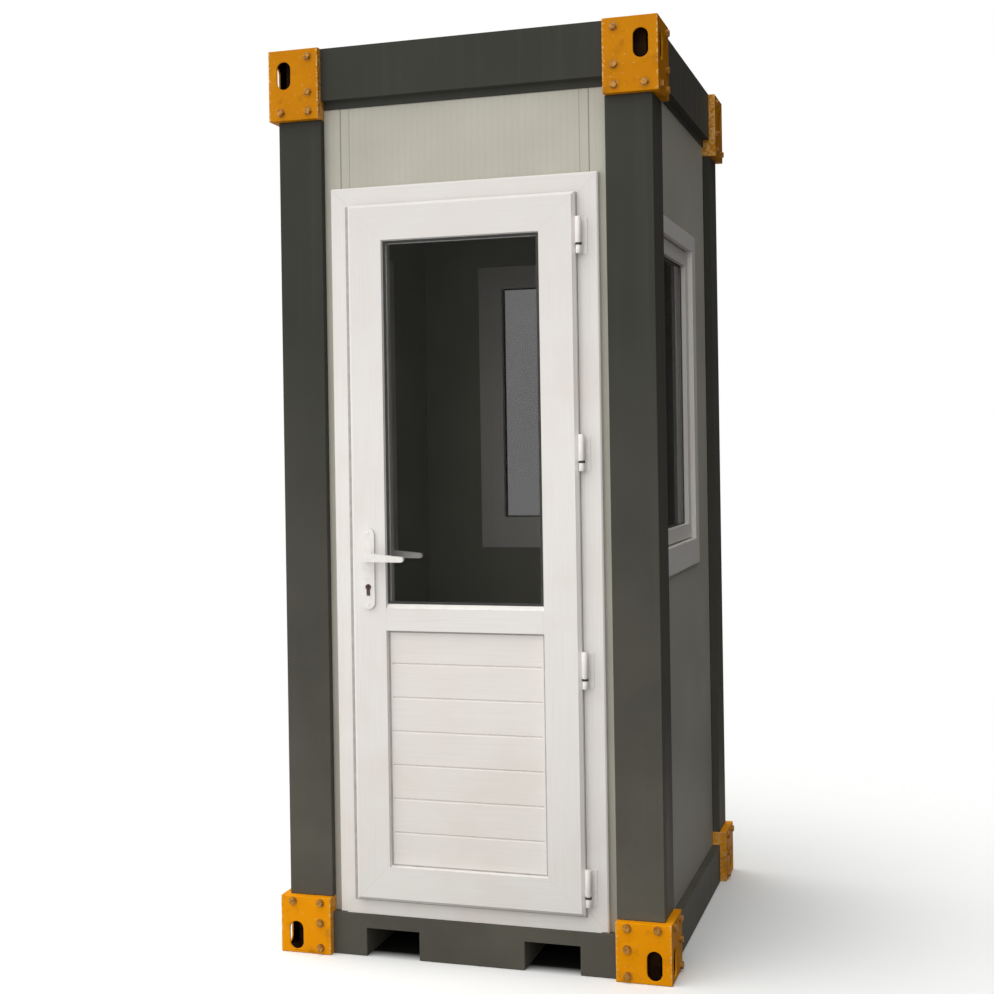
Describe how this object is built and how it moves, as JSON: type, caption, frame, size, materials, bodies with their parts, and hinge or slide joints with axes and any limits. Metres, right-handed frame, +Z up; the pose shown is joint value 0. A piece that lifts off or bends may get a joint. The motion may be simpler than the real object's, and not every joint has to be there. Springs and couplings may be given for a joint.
{
  "type": "security guard booth",
  "caption": "Square one-person guard booth on a bolted steel frame with orange corner castings, insulated walls, fixed windows, fork pockets and a hinged half-glazed door with a lever handle.",
  "frame": {"origin": "on the ground under the middle of the booth, on the underside of the middle floor joist", "axes": "+Z up, -Y out through the door, +X towards the hinge side of the door"},
  "size_m": [1.15, 1.2, 2.62],
  "materials": {
    "grey_steel": "satin",
    "orange_steel": "satin",
    "panel_skin": "satin",
    "white_plastic": "satin",
    "dark_glass": "clear",
    "bare_zinc": "satin",
    "floor_wood": "matt"
  },
  "bodies": {
    "booth": {"post_front_left": "grey_steel", "top_casting_front_left": "orange_steel", "bottom_casting_front_left": "orange_steel", "post_front_right": "grey_steel", "top_casting_front_right": "orange_steel", "bottom_casting_front_right": "orange_steel", "post_rear_left": "grey_steel", "top_casting_rear_left": "orange_steel", "bottom_casting_rear_left": "orange_steel", "post_rear_right": "grey_steel", "top_casting_rear_right": "orange_steel", "bottom_casting_rear_right": "orange_steel", "top_beam_front": "grey_steel", "bottom_beam_front": "grey_steel", "top_beam_rear": "grey_steel", "bottom_beam_rear": "grey_steel", "top_beam_left": "grey_steel", "bottom_beam_left": "grey_steel", "top_beam_right": "grey_steel", "bottom_beam_right": "grey_steel", "fork_tunnels": "grey_steel", "floor_joists": "grey_steel", "floor_board": "floor_wood", "roof_sheet": "bare_zinc", "ceiling_panel": "panel_skin", "left_wall": "panel_skin", "right_wall": "panel_skin", "rear_wall": "panel_skin", "front_strip_left": "panel_skin", "front_strip_right": "panel_skin", "over_door_panel": "panel_skin", "door_frame": "white_plastic", "hinge_frame_halves": "white_plastic", "window_frames": "white_plastic", "window_sashes": "white_plastic", "window_panes": "dark_glass"},
    "door": {"door_leaf": "white_plastic", "door_glass": "dark_glass", "door_beads": "white_plastic", "door_infill": "white_plastic", "hinge_leaf_halves": "white_plastic", "handle_plates": "white_plastic", "key_cylinder": "bare_zinc"},
    "lever": {"lever_set": "white_plastic"}
  },
  "joints": [
    {"name": "door_hinge", "type": "hinge", "parent": "booth", "child": "door", "pos_m": [0.346, -0.572, 1.163], "axis": [0, 0, 1], "range_deg": [0, 110]},
    {"name": "handle_lever", "type": "hinge", "parent": "door", "child": "lever", "pos_m": [-0.283, -0.55, 1.152], "axis": [0, 1, 0], "range_deg": [0, 40], "stiffness_Nm_per_rad": 1, "springref_deg": -20.05}
  ]
}
